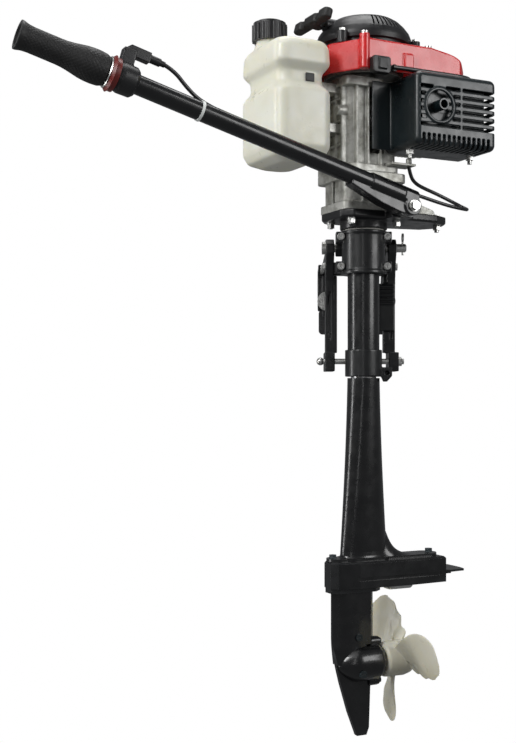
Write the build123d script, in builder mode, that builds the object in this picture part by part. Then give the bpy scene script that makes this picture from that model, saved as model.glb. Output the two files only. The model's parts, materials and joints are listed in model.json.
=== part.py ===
"""Small air-cooled petrol outboard motor, as an assembly of separate pieces.

Row frame: +X across the transom, +Y towards the boat, +Z up, origin at the middle of the
transom seat, which is the underside of the clamp bracket's cross member.

Pieces of the motor itself are drawn in the motor's own frame: its Z axis is the steering
axis, +X points aft and +Y to starboard. Pieces of the tiller are drawn in the tiller's
frame: its origin is the fold pivot, +X runs forward along the tube and +Z is up.
"""

import os
from math import atan2, cos, pi, radians, sin, tan

from build123d import *

# --- driving dimensions, in millimetres and degrees ---
STEER_Y = -93.0  # steering axis behind the transom seat
SWING = 26.0  # how far the motor is swivelled in the stored position
PIN_Y, PIN_Z, PIN_R = -47.0, 30.0, 6.0  # tilt pin
ARM_IN, ARM_OUT = 38.0, 50.0  # inner and outer faces of each clamp arm
TRANSOM_HALF = 27.0  # half the gap that takes the transom
SCREW_X, SCREW_Z, SCREW_R = 44.0, -40.0, 5.0  # clamp screws
HINGE_Y = 70.0  # where each paddle folds on its screw
BRACKET_BOLTS = [(-10, 5), (12, 5), (-34, 5)]  # (y, z) of the bolts through each clamp arm
TRIM_Y, TRIM_Z, TRIM_R = -60.0, -132.0, 4.0  # trim pin
RUN = 0.06  # radial clearance of a running fit

TUBE_R, TUBE_BORE = 22.0, 19.5  # swivel tube
COLLAR_LOW, COLLAR_TOP, COLLAR_R = -13.0, 47.0, 30.5
EAR_SCREWS = [(x, z) for x in (-32, 32) for z in (39, -2)]  # screws that close the collar
LOW_COLLAR_BOTTOM, LOW_COLLAR_TOP, LOW_COLLAR_R = -154.0, -117.0, 25.5
LEG_R, LEG_BORE = 17.5, 14.5  # leg tube that turns inside the swivel tube
LEG_TOP, LEG_FOOT = -156.0, -407.0  # leg casting
LEG_SECTIONS = (
    # height, half chord, half width
    (LEG_TOP, 22.3, 22.3), (-205, 24, 21.8), (-284, 28, 21), (-395, 35.5, 19),
)  # fmt: skip
FAIRING_SECTIONS = (
    # height, centre, half chord, half width
    (-345, 17, 13.5, 9.5), (-370, 18.5, 16.5, 11), (-386, 22, 21, 12.5), (-396, 27, 26, 14),
    (-402, 36, 35, 15.5), (LEG_FOOT, 49, 51, 17),
)  # fmt: skip
FOOT_FLANGE = 4.0
HOUSING_FOOT = -443.0  # exhaust housing under the leg
FLANGE_BOLTS = (-49, 108)  # through the leg's foot into the exhaust housing
ANODE_BOLTS = (45, 66)
ANODE_DEEP = 8.0
STRUT_FOOT = -549.0
OIL_PLUGS = ((-512, -14.5), (-560, -26.5))  # height and face of each plug
PROP_Z = -549.0  # propeller shaft height
TORPEDO_R = 26.0
DRIVE_R = 5.0  # drive shaft and propeller shaft
PROP_R = 95.0  # about a 7.5 inch propeller
PROP_U = 54.0  # plane of the blades
HUB_AFT = 75.0
BLADE_PITCH = 128.0  # advance in one turn
BLADE_TURNS = (78, 198, 318)
BLADE_SECTIONS = (
    # radius, chord, thickness, rake aft
    (17, 36, 7.0, 0), (34, 54, 5.2, 0.5), (52, 66, 4.2, 1.5), (68, 68, 3.2, 2.5), (83, 56, 2.4, 3.5),
    (PROP_R - 1, 28, 1.6, 4),
)  # fmt: skip
CAP_SCREW_RISE = 27.0  # gear-case cap screws above and below the shaft
GEAR_TEETH, PINION_TEETH = 24, 12
GEAR_PITCH_R = 18.0
PINION_PITCH_R = GEAR_PITCH_R * PINION_TEETH / GEAR_TEETH
GEAR_TIP = 0.58  # small end of each bevel cone, as a share of its large end
MESH_GAP = 0.35

PLATE_LOW, PLATE_TOP = 60.0, 71.0  # mount plate under the engine
BASE_TOP = 124.0
CASE_TOP = 250.0
CYL_Z, BORE_R, STROKE = 200.0, 20.0, 28.0
JOURNAL_R = 8.0
MOUNT_BOLTS = [(u, v) for u in (-36, 36) for v in (-28, 28)]
STAY_BOLT = (112, -14)
WEB_LOW, WEB_HIGH = (186, 194), (206, 214)  # crank webs, each side of the rod
WRIST_U = 78.0  # wrist pin at the top of the stroke
SHROUD_PLAN = (
    (-72, -30), (-40, -78), (33, -76), (108, -78), (121, -66), (121, 52), (104, 66), (-30, 66), (-72, 34),
)  # fmt: skip
SHROUD_TOP = 290.0
SHROUD_NOSE = ((117.5, 269.5), (106, 279), (87, 285.5), (66, 289))
SHROUD_BOSSES = ((-42, -72, 296), (62, -66, 291), (-42, 56, 292), (84, 56, 291))  # centre and top
SHEET = 2.5  # wall of the shroud, the muffler cover and the tank
STARTER_FEET = [(70.5 * cos(radians(t)), 70.5 * sin(radians(t)), SHROUD_TOP) for t in (35, 155, 215, 325)]
FOOT_RISE = 16.0
COVER_OUTSIDE = [
    # radius, height
    (60, SHROUD_TOP), (60, 299), (65, 300), (66, 307), (63, 315), (57, 323), (50, 330), (42, 335),
    (34, 337), (0, 337),
]  # fmt: skip
COVER_INSIDE = [(0, 334), (33, 334), (41, 332), (48, 327.5), (54, 321), (57, 316), (57, SHROUD_TOP)]
SLIT_SPAN, SLIT_STEP = 108, 6  # degrees either side of aft
MUFFLER_LOW, MUFFLER_HIGH = (15, -110, 150), (144, -32, 247)
MUFFLER_BOLTS = (30, 128)
OUTLET_U, OUTLET_Z = 51.0, 203.0  # tail pipe

PIVOT = (25.0, -75.0, 72.0)  # tiller fold pivot
TILLER_RISE = 15.6
TILLER_OFF = 10.7  # tube axis above the pivot
TILLER_R = 12.0
GRIP_START, GRIP_END = 442.0, 552.0

TANK_CENTRE, TANK_LENGTH, TANK_WIDTH = (-120.5, 2), 83.0, 120.0
TANK_SECTIONS = (
    # height, how far the side is drawn in
    (127, 20), (134, 5), (146, 0), (218, 0), (229, 8), (243, 8), (254, 0), (276, 1), (284, 5), (287, 12),
)  # fmt: skip
CAP_AT = (-135.0, 21.0)  # fuel filler
NECK_R = 18.0
PULL_AT = (-80.0, 0.0, 327.0)  # starter handle
PULL_RISE = 15.0
CABLE_R = 2.5
CABLE_STOP = (45.0, -45.0)  # where the throttle cable ends under the engine
LOOP_ROUTE = [
    # motor frame
    (-8, -59.5, 100.5), (14, -60, 98), (34, -62, 94.5), (54, -64, 89.5), (77, -65.5, 84),
    (100, -66, 79.5), (121, -63.5, 78), (136, -55, 79), (141, -43, 82.5), (135, -33, 89),
    (118, -29, 97), (98, -29.5, 103.5), (79, -32, 108), (61, -38, 112), (49, -43.5, 119.5),
    (CABLE_STOP[0], CABLE_STOP[1], BASE_TOP + 8.6),
]  # fmt: skip
ARM_ROUTE = [
    # tiller frame
    (376, 0, 46.7), (362, 0, 44.5), (342, -2, 33), (322, -5, 25.5), (296, -8, 23.4), (240, -8.4, 23.2),
    (180, -9.8, 22.5), (120, -12.4, 19.9), (66, -15, 18.9), (40, -15.5, 18.5),
]  # fmt: skip

MOTOR = Location((0, STEER_Y, 0), (0, 0, SWING))
TILLER = MOTOR * Plane(
    origin=PIVOT,
    x_dir=(-cos(radians(TILLER_RISE)), 0, sin(radians(TILLER_RISE))),
    z_dir=(sin(radians(TILLER_RISE)), 0, cos(radians(TILLER_RISE))),
).location
PROPELLER = MOTOR * Location((0, 0, PROP_Z))
STEERING = Location((0, STEER_Y, 0))
ROW = Location()

X, Y, Z = (1, 0, 0), (0, 1, 0), (0, 0, 1)


# --- helpers that add to the sub-part being built ---
def rod(start, direction, radius, length, mode=Mode.ADD):
    """A round bar from start along direction."""
    with BuildSketch(Plane(origin=start, z_dir=direction)) as disc:
        Circle(radius)
    extrude(disc.sketch, amount=length, mode=mode)


def hexagon(start, direction, radius, length, mode=Mode.ADD):
    """A six-sided bar, radius measured to its corners."""
    with BuildSketch(Plane(origin=start, z_dir=direction)) as outline:
        RegularPolygon(radius, 6)
    extrude(outline.sketch, amount=length, mode=mode)


def block(low, high, mode=Mode.ADD):
    """A plain block between two corners."""
    middle = tuple((a + b) / 2 for a, b in zip(low, high))
    with Locations(middle):
        Box(*(b - a for a, b in zip(low, high)), mode=mode)


def slab(low, high, corner, mode=Mode.ADD):
    """A block whose upright edges are rounded."""
    middle = ((low[0] + high[0]) / 2, (low[1] + high[1]) / 2, low[2])
    with BuildSketch(Plane(origin=middle)) as outline:
        RectangleRounded(high[0] - low[0], high[1] - low[1], corner)
    extrude(outline.sketch, amount=high[2] - low[2], mode=mode)


def prism(plane, points, length, mode=Mode.ADD, both=False):
    """An extruded polygon drawn on plane."""
    with BuildSketch(plane) as outline:
        with BuildLine():
            Polyline(*points, close=True)
        make_face()
    extrude(outline.sketch, amount=length, both=both, mode=mode)


def spun(points, mode=Mode.ADD):
    """A solid turned about Z from (radius, height) points."""
    with BuildSketch(Plane.XZ) as outline:
        with BuildLine():
            Polyline(*points, close=True)
        make_face()
    revolve(outline.sketch, Axis.Z, mode=mode)


def turned(points, height=0.0, mode=Mode.ADD):
    """A solid turned about a line along X at that height, from (distance, radius) points."""
    with BuildSketch(Plane(origin=(0, 0, height), x_dir=X, z_dir=(0, -1, 0))) as outline:
        with BuildLine():
            Polyline(*points, close=True)
        make_face()
    revolve(outline.sketch, Axis((0, 0, height), X), mode=mode)


def save(piece, name, place=ROW):
    """Label one sub-part, put it in its place and write its STEP file."""
    piece.part.label = name
    placed = piece.part.moved(place)
    placed.label = name
    export_step(placed, f"parts/{name}.step")


# --- clamp bracket, in the row frame ---
def bracket(side):
    """One clamp arm: a hook over the transom with a boss for the clamp screw."""
    hook = [
        (-41, -119), (-27, -119), (-TRANSOM_HALF, 0), (TRANSOM_HALF, 0), (TRANSOM_HALF, -62),
        (38, -62), (43, -50), (45, -12), (38, 10), (22, 19), (-18, 24), (-34, 42),
        (-52, 42), (-60, 34), (-60, 22), (-50, 6), (-44, -16), (-41, -50),
    ]  # fmt: skip
    inner = side * ARM_IN
    outer = side * ARM_OUT
    with BuildPart() as arm:
        prism(Plane.YZ.offset(inner), hook, outer - inner)
        foot_low, foot_high = sorted((inner, side * (ARM_OUT + 2)))
        block((foot_low, -70, -146), (foot_high, -27, -119))
        flange_low, flange_high = sorted((side * (ARM_IN - 5), inner))
        block((flange_low, -41, -119), (flange_high, -TRANSOM_HALF, -9))
        rib_low, rib_high = sorted((outer, side * 57))
        prism(
            Plane.YZ.offset(rib_low),
            [(16, 14), (38, 6), (41, -12), (39, -48), (33, -55), (29, -48), (30, -4), (20, 4)],
            rib_high - rib_low,
        )
        rod((side * SCREW_X, TRANSOM_HALF, SCREW_Z), Y, 12, 17)
        rod((side * SCREW_X, 20, SCREW_Z), Y, SCREW_R + RUN, 40, Mode.SUBTRACT)
        rod((-80, PIN_Y, PIN_Z), X, PIN_R, 160, Mode.SUBTRACT)
        rod((-80, TRIM_Y, TRIM_Z), X, TRIM_R, 160, Mode.SUBTRACT)
        for bolt_y, bolt_z in BRACKET_BOLTS:
            rod((-80, bolt_y, bolt_z), X, 3, 160, Mode.SUBTRACT)
        block((-2 + side * 44, -42, -100), (2 + side * 44, -39, -20), Mode.SUBTRACT)
        if side > 0:
            block((22, -44, -88), (48, -41, -20))
            for rib in range(5):
                block((22, -46, -26 - 6 * rib), (48, -44, -23 - 6 * rib))
    return arm


def make_crossmember():
    """Saddle that joins the two arms and sits on the transom."""
    with BuildPart() as saddle:
        block((-ARM_IN, -41, 0), (ARM_IN, 30, 10))
        block((-ARM_IN, -41, -8), (ARM_IN, -TRANSOM_HALF, 0))
        block((-ARM_IN, -4, 10), (ARM_IN, 6, 15))
        for side in (-1, 1):
            for bolt_y, bolt_z in BRACKET_BOLTS:
                rod((side * 28, bolt_y, bolt_z), (side, 0, 0), 3, 20, Mode.SUBTRACT)
    return saddle


def make_bracket_bolts():
    """Six hexagon bolts that hold the arms to the saddle, and the tilt pin's ring cotter."""
    with BuildPart() as bolts:
        for side in (-1, 1):
            for bolt_y, bolt_z in BRACKET_BOLTS:
                out = (side, 0, 0)
                rod((side * 28, bolt_y, bolt_z), out, 3, ARM_OUT - 28)
                hexagon((side * ARM_OUT, bolt_y, bolt_z), out, 5.5, 4)
        rod((60, PIN_Y, PIN_Z - 10), Z, 1.5, 21)
        with BuildSketch(Plane.YZ.offset(60)) as ring:
            with Locations((PIN_Y, PIN_Z + 15)):
                Circle(6)
                Circle(3.6, mode=Mode.SUBTRACT)
        extrude(ring.sketch, amount=1.2, both=True)
    return bolts


def make_tilt_pin():
    """Headed pin that the swivel bracket tilts on."""
    with BuildPart() as pin:
        rod((-ARM_OUT, PIN_Y, PIN_Z), X, PIN_R, ARM_OUT + 65)
        rod((-ARM_OUT - 5, PIN_Y, PIN_Z), X, 9, 5)
        rod((60, PIN_Y, PIN_Z - 10), Z, 1.5, 20, Mode.SUBTRACT)
        chamfer(pin.faces().sort_by(Axis.X)[-1].edges(), 1.5)
    return pin


def make_trim_pin():
    """Pin that the leg rests against, with a ball at its left end."""
    with BuildPart() as pin:
        rod((-56, TRIM_Y, TRIM_Z), X, TRIM_R, 116)
        with Locations((-58, TRIM_Y, TRIM_Z)):
            Sphere(5.5)
        hexagon((ARM_OUT + 2, TRIM_Y, TRIM_Z), X, 6.5, 5)
    return pin


def clamp_pad(side):
    """Swivelling pad at the tip of a clamp screw."""
    with BuildPart() as pad:
        rod((side * SCREW_X, 20, SCREW_Z), Y, 14, 3.5)
        rod((side * SCREW_X, 23, SCREW_Z), Y, 8, 3)
        rod((side * SCREW_X, 22, SCREW_Z), Y, 3 + RUN, 5, Mode.SUBTRACT)
        for turn in range(0, 180, 45):
            across = Plane(
                origin=(side * SCREW_X, 20, SCREW_Z),
                x_dir=(cos(radians(turn)), 0, sin(radians(turn))),
                z_dir=(0, 1, 0),
            )
            with BuildSketch(across) as groove:
                Rectangle(30, 1.2)
            extrude(groove.sketch, amount=0.6, mode=Mode.SUBTRACT)
    return pad


def clamp_screw():
    """Clamp screw with an eye at its outer end, drawn along its own axis."""
    with BuildPart() as screw:
        rod((0, 22.2, 0), Y, 3, 5)
        rod((0, 26.2, 0), Y, SCREW_R, 38)
        for turn in range(8):
            with BuildSketch(Plane(origin=(0, 46 + 2 * turn, 0), z_dir=Y)) as ring:
                Circle(SCREW_R + 1)
                Circle(SCREW_R - 0.6, mode=Mode.SUBTRACT)
            extrude(ring.sketch, amount=0.9, mode=Mode.SUBTRACT)
        block((-4, 64, -5), (4, HINGE_Y, 5))
        rod((-4, HINGE_Y, 0), X, 5, 8)
        rod((-9, HINGE_Y, 0), X, 2.5 + RUN, 18, Mode.SUBTRACT)
    return screw


def clamp_paddle():
    """Folding handle, drawn hanging from its own hinge at the origin."""
    with BuildPart() as paddle:
        rod((-8, 0, 0), X, 2.5, 16)
        for cheek in (-8, 4.4):
            rod((cheek, 0, 0), X, 5.4, 3.6)
            block((cheek, -2.5, -14), (cheek + 3.6, 2.5, 0))
        with BuildSketch(Plane.XZ.offset(-2.5)) as plate:
            with Locations((0, -28)):
                RectangleRounded(19, 38, 6)
        extrude(plate.sketch, amount=5)
        for rib in range(6):
            block((-8, -3.6, -17 - 4.6 * rib), (8, 3.6, -15 - 4.6 * rib))
    return paddle


# --- swivel bracket, in the row frame ---
def collar_half(side):
    """Half of the split collar, with its two ears; side is +1 towards the boat."""
    with BuildPart() as half:
        spun([(TUBE_R, COLLAR_LOW), (COLLAR_R + 1, COLLAR_LOW), (COLLAR_R + 1, COLLAR_LOW + 4),
              (COLLAR_R - 0.5, COLLAR_LOW + 6), (COLLAR_R - 0.5, COLLAR_TOP - 6),
              (COLLAR_R + 1, COLLAR_TOP - 4), (COLLAR_R + 1, COLLAR_TOP), (TUBE_R, COLLAR_TOP)])  # fmt: skip
        for ear_x, ear_z in EAR_SCREWS:
            low_x, high_x = sorted((ear_x * 0.7, ear_x * 1.2))
            block((low_x, -10, ear_z - 8), (high_x, 10, ear_z + 7))
            rod((ear_x, -20, ear_z), Y, 3, 40, Mode.SUBTRACT)
        rod((0, 0, COLLAR_LOW), Z, TUBE_R, 80, Mode.SUBTRACT)
        if side < 0:
            for ear_x, ear_z in EAR_SCREWS:
                rod((ear_x, -10, ear_z), (0, -1, 0), 5.4, 30, Mode.SUBTRACT)
        cut_y = (-60, 0) if side > 0 else (0, 60)
        block((-60, cut_y[0], -40), (60, cut_y[1], 80), Mode.SUBTRACT)
    return half


def make_swivel_bracket():
    """Fore half of the collar with the lugs that swing on the tilt pin."""
    reach = PIN_Y - STEER_Y
    rear = collar_half(1)
    with BuildPart() as swivel:
        add(rear.part)
        block((-26, 20, PIN_Z - 12), (26, reach, PIN_Z + 12))
        rod((-35.5, reach, PIN_Z), X, 12, 71)
        block((-5, 24, COLLAR_LOW + 4), (5, 34, PIN_Z - 10))
        rod((0, 0, COLLAR_LOW), Z, TUBE_R, 80, Mode.SUBTRACT)
        rod((-60, reach, PIN_Z), X, PIN_R + RUN, 120, Mode.SUBTRACT)
        for ear_x, ear_z in EAR_SCREWS:
            rod((ear_x, -20, ear_z), Y, 3, 30.5, Mode.SUBTRACT)
    return swivel


def make_cap_screws():
    """Four socket screws with washers that close the collar."""
    with BuildPart() as screws:
        for ear_x, ear_z in EAR_SCREWS:
            rod((ear_x, 9.5, ear_z), (0, -1, 0), 3, 19.5)
            rod((ear_x, -10, ear_z), (0, -1, 0), 5, 1.2)
            rod((ear_x, -11.2, ear_z), (0, -1, 0), 4.5, 5)
            hexagon((ear_x, -16.2, ear_z), Y, 2.7, 3, Mode.SUBTRACT)
    return screws


def make_swivel_tube():
    """Steel tube that the collar grips."""
    with BuildPart() as tube:
        spun([(TUBE_BORE, LOW_COLLAR_BOTTOM), (TUBE_R, LOW_COLLAR_BOTTOM),
              (TUBE_R, COLLAR_TOP), (TUBE_BORE, COLLAR_TOP)])  # fmt: skip
    return tube


def make_swivel_bushes():
    """Two plastic bushes that the leg tube turns in, the upper one flanged."""
    inner = LEG_R + RUN
    with BuildPart() as bushes:
        spun([(inner, 7), (TUBE_BORE, 7), (TUBE_BORE, COLLAR_TOP), (COLLAR_R - 2, COLLAR_TOP),
              (COLLAR_R - 2, COLLAR_TOP + 1.6), (inner, COLLAR_TOP + 1.6)])  # fmt: skip
        spun([(inner, LOW_COLLAR_BOTTOM), (TUBE_BORE, LOW_COLLAR_BOTTOM),
              (TUBE_BORE, LOW_COLLAR_TOP), (inner, LOW_COLLAR_TOP)])  # fmt: skip
    return bushes


def make_lower_collar():
    """Collar at the foot of the swivel tube, with the stop that meets the trim pin."""
    stop = TRIM_Y - TRIM_R - 0.5 - STEER_Y  # just clear of the trim pin
    with BuildPart() as collar:
        spun([(TUBE_R, LOW_COLLAR_BOTTOM), (LOW_COLLAR_R, LOW_COLLAR_BOTTOM),
              (LOW_COLLAR_R, LOW_COLLAR_TOP), (TUBE_R, LOW_COLLAR_TOP)])  # fmt: skip
        block((-14, 18, -148), (14, stop, -120))
        prism(
            Plane.XZ.offset(8),
            [(18, -141), (39, -141), (39, -153), (32, -161), (27, -161), (24, -154), (18, -150)],
            -9,
        )
        rod((32, -20, -149), Y, 3, 20, Mode.SUBTRACT)
        rod((0, 0, LOW_COLLAR_BOTTOM - 10), Z, TUBE_R, 60, Mode.SUBTRACT)
    return collar


# --- leg, in the motor frame ---
def make_leg_tube():
    """Tube that carries the leg and steers inside the swivel tube."""
    with BuildPart() as tube:
        spun([(LEG_BORE, -200), (LEG_R, -200), (LEG_R, PLATE_TOP), (LEG_BORE, PLATE_TOP)])
    return tube


def make_leg_casting():
    """Streamlined leg that fairs back into the exhaust housing."""
    with BuildPart() as leg:
        for height, half_chord, half_width in LEG_SECTIONS:
            with BuildSketch(Plane.XY.offset(height)):
                Ellipse(half_chord, half_width)
        loft()
        for height, middle, half_chord, half_width in FAIRING_SECTIONS:
            with BuildSketch(Plane(origin=(middle, 0, height))):
                Ellipse(half_chord, half_width)
        loft()
        with BuildSketch(Plane.XY.offset(LEG_FOOT)):
            SlotOverall(80, 40)
            with Locations((40, 0)):
                SlotOverall(156, 34)
            with Locations((-34, 0)):
                SlotOverall(46, 30)
        extrude(amount=FOOT_FLANGE)
        rod((0, 0, -200), Z, LEG_R, 60, Mode.SUBTRACT)
        rod((0, 0, LEG_FOOT - 10), Z, 9, 300, Mode.SUBTRACT)
        for bolt_u in FLANGE_BOLTS:
            rod((bolt_u, 0, LEG_FOOT - 10), Z, 3, 60, Mode.SUBTRACT)
    return leg


def make_exhaust_housing():
    """Thick plate between the leg and the gear case, with the thin plate behind it."""
    with BuildPart() as housing:
        with BuildSketch(Plane.XY.offset(HOUSING_FOOT)):
            with BuildLine():
                Polyline((-57, -9), (-50, -19), (-20, -26), (60, -29), (121, -25), (121, 25),
                         (60, 29), (-20, 26), (-50, 19), (-57, 9), close=True)  # fmt: skip
            make_face()
        extrude(amount=LEG_FOOT - HOUSING_FOOT)
        chamfer(housing.faces().sort_by(Axis.Z)[-1].edges(), 2.5)
        prism(
            Plane.XY.offset(-429),
            [(119, -25), (126, -30), (150, -27), (153, -14), (153, 14), (150, 27), (126, 30), (119, 25)],
            3,
        )
        block((119, -20, -440), (124, 20, -428))
        block((124, -1.5, -436), (146, 1.5, -428))
        for side in (-1, 1):
            block((-30, side * 31 - 6, -433), (112, side * 31 + 6, -428), Mode.SUBTRACT)
        rod((0, 0, HOUSING_FOOT - 10), Z, 9, 60, Mode.SUBTRACT)
        for bolt_u in FLANGE_BOLTS:
            rod((bolt_u, 0, LEG_FOOT - 20), Z, 3, 60, Mode.SUBTRACT)
        for bolt_u in ANODE_BOLTS:
            rod((bolt_u, 0, HOUSING_FOOT - 1), Z, 2.5, 12, Mode.SUBTRACT)
    return housing


def make_gear_housing():
    """Lower unit: strut, gear case and skeg in one casting."""
    with BuildPart() as housing:
        with BuildSketch(Plane.XY.offset(STRUT_FOOT)):
            with BuildLine():
                nose = Spline((-52, 0), (-42, 8.5), (-20, 12.5), (6, 10))
                tail = Line(nose @ 1, (13, 3))
                Line(tail @ 1, (13, 0))
                mirror(about=Plane.XZ)
            make_face()
        extrude(amount=HOUSING_FOOT - STRUT_FOOT)
        with BuildSketch(Plane.XY.offset(HOUSING_FOOT - 7)):
            with BuildLine():
                Polyline((-56, -8), (-46, -15), (10, -17), (22, -8), (22, 8), (10, 17), (-46, 15),
                         (-56, 8), close=True)  # fmt: skip
            make_face()
        extrude(amount=7)
        prism(
            Plane.XZ,
            [(-50, -541), (-42, -570), (-30, -609), (-19, -640), (-12, -650), (3, -650), (7, -640),
             (9, -585), (12, -560), (0, -549)],
            3.2,
            both=True,
        )  # fmt: skip
    with BuildPart() as torpedo:
        with BuildSketch(Plane.XZ):
            with BuildLine():
                front = Spline((-43, 0), (-38, 12), (-25, 22), (-8, TORPEDO_R), tangents=((0, 1), (1, 0)))
                Polyline(front @ 1, (16, TORPEDO_R), (20, TORPEDO_R - 2), (20, 0), (-43, 0))
            make_face()
        revolve(axis=Axis.X)
    with BuildPart() as casting:
        add(housing.part)
        add(torpedo.part.moved(Location((0, 0, PROP_Z))))
        for level in (PROP_Z + CAP_SCREW_RISE, PROP_Z - CAP_SCREW_RISE):
            rod((6, 0, level), X, 7, 14)
        prism(
            Plane.XZ,
            [(-80, -500), (-52.6, -505), (-50.8, -520), (-47.6, -535), (-44, -553), (-38.7, -574),
             (-25.7, -616), (-14, -646), (-11, -660), (-80, -660)],
            40,
            Mode.SUBTRACT,
            both=True,
        )  # fmt: skip
        rod((-13, 0, PROP_Z), X, 20.5, 40, Mode.SUBTRACT)
        rod((0, 0, PROP_Z), Z, 11.5, 26, Mode.SUBTRACT)
        rod((0, 0, PROP_Z + 20), Z, DRIVE_R + RUN, 200, Mode.SUBTRACT)
        rod((0, 0, HOUSING_FOOT - 30), Z, 9, 60, Mode.SUBTRACT)
        for level in (PROP_Z + CAP_SCREW_RISE, PROP_Z - CAP_SCREW_RISE):
            rod((8, 0, level), X, 2.5, 30, Mode.SUBTRACT)
        for plug_z, _ in OIL_PLUGS:
            rod((-15, -40, plug_z), Y, 5, 32, Mode.SUBTRACT)
    return casting


def make_gearcase_cap():
    """Cap that closes the gear case and carries the propeller shaft's bearing."""
    with BuildPart() as cap:
        turned([(16, 0), (16, 20.5), (20, 20.5), (20, 24), (23, 22), (23, 0)])
        for level in (CAP_SCREW_RISE, -CAP_SCREW_RISE):
            rod((20, 0, level), X, 6.5, 3)
        block((20, -6, -28), (23, 6, 28))
        rod((0, 0, 0), X, DRIVE_R + RUN, 60, Mode.SUBTRACT)
        for level in (CAP_SCREW_RISE, -CAP_SCREW_RISE):
            rod((8, 0, level), X, 2.5, 30, Mode.SUBTRACT)
    return cap


def make_gearcase_screws():
    """Cap screws, oil plugs and the two bolts through the exhaust housing."""
    with BuildPart() as screws:
        for level in (PROP_Z + CAP_SCREW_RISE, PROP_Z - CAP_SCREW_RISE):
            rod((9, 0, level), X, 2.5, 14)
            rod((23, 0, level), X, 4.3, 3.5)
            hexagon((26.5, 0, level), (-1, 0, 0), 2.2, 2, Mode.SUBTRACT)
        for plug_z, face in OIL_PLUGS:
            rod((-15, -9, plug_z), (0, -1, 0), 5, -face - 9)
            block((-19, face - 1, plug_z - 0.6), (-11, face + 1.2, plug_z + 0.6), Mode.SUBTRACT)
        for bolt_u in FLANGE_BOLTS:
            rod((bolt_u, 0, LEG_FOOT - 20), Z, 3, 28)
            hexagon((bolt_u, 0, LEG_FOOT + FOOT_FLANGE), Z, 5.6, 5)
    return screws


def make_anode():
    """Zinc block bolted under the exhaust housing."""
    with BuildPart() as anode:
        slab((35, -11, HOUSING_FOOT - ANODE_DEEP), (76, 11, HOUSING_FOOT), 5)
        chamfer(anode.faces().sort_by(Axis.Z)[0].edges(), 3)
        for bolt_u in ANODE_BOLTS:
            rod((bolt_u, 0, HOUSING_FOOT - 20), Z, 5, 23 - ANODE_DEEP, Mode.SUBTRACT)
            rod((bolt_u, 0, HOUSING_FOOT - 20), Z, 2.5, 30, Mode.SUBTRACT)
        for bolt_u in ANODE_BOLTS:
            rod((bolt_u, 0, HOUSING_FOOT + 3 - ANODE_DEEP), Z, 2.5, ANODE_DEEP + 6)
            hexagon((bolt_u, 0, HOUSING_FOOT - ANODE_DEEP), Z, 4.6, 3)
    return anode


# --- engine, in the motor frame ---
def make_mount_plate():
    """Plate that joins the leg to the engine and carries the tiller's ear."""
    with BuildPart() as plate:
        with BuildSketch(Plane.XY.offset(PLATE_LOW)) as outline:
            with BuildLine():
                Polyline((-52, -26), (-40, -42), (40, -45), (96, -40), (118, -28), (126, -8), (126, 12),
                         (112, 30), (40, 44), (-40, 42), (-52, 26), close=True)  # fmt: skip
            make_face()
            fillet(outline.vertices(), 5)
        extrude(amount=PLATE_TOP - PLATE_LOW)
        chamfer(plate.faces().sort_by(Axis.Z)[0].edges(), 2)
        skirt_low, skirt_top = COLLAR_TOP + 2, PLATE_LOW + 1
        spun([(LEG_R, skirt_low), (32.6, skirt_low), (32.6, skirt_top), (LEG_R, skirt_top)])
        block((8, -61.5, PLATE_LOW), (42, -40, PLATE_TOP))
        block((13, -61.5, PLATE_LOW), (37, -52, PIVOT[2]))
        rod((PIVOT[0], -61.5, PIVOT[2]), Y, 12, 9.5)
        block((PIVOT[0] - 8, -52, PIVOT[2] - 9), (PIVOT[0] + 8, -45, PIVOT[2] + 9), Mode.SUBTRACT)
        rod((PIVOT[0], -70, PIVOT[2]), Y, 4, 30, Mode.SUBTRACT)
        rod((0, 0, 0), Z, LEG_R, 100, Mode.SUBTRACT)
        for u, v in MOUNT_BOLTS:
            rod((u, v, 40), Z, 3, 60, Mode.SUBTRACT)
        rod((*STAY_BOLT, 40), Z, 3, 60, Mode.SUBTRACT)
    return plate


def make_mount_bolts():
    """Engine bolts with nuts below, the stay bolt at the back and the tiller bolt."""
    with BuildPart() as bolts:
        for u, v in MOUNT_BOLTS:
            rod((u, v, PLATE_LOW - 8), Z, 3, 36)
            rod((u, v, PLATE_LOW - 1.4), Z, 6.2, 1.4)
            hexagon((u, v, PLATE_LOW - 6.9), Z, 5.6, 5.5)
        rod((*STAY_BOLT, PLATE_LOW - 9), Z, 3, 24)
        hexagon((*STAY_BOLT, PLATE_LOW - 5.5), Z, 5.6, 5.5)
        hexagon((*STAY_BOLT, PLATE_TOP), Z, 5.6, 4.5)
        rod((PIVOT[0], -52, PIVOT[2]), (0, -1, 0), 4, 36)
        rod((PIVOT[0], -87.6, PIVOT[2]), (0, -1, 0), 7.6, 1.2)
        hexagon((PIVOT[0], -88.8, PIVOT[2]), (0, -1, 0), 6.6, 5.4)
        hexagon((PIVOT[0], -52, PIVOT[2]), Y, 7, 5)
    return bolts


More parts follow.
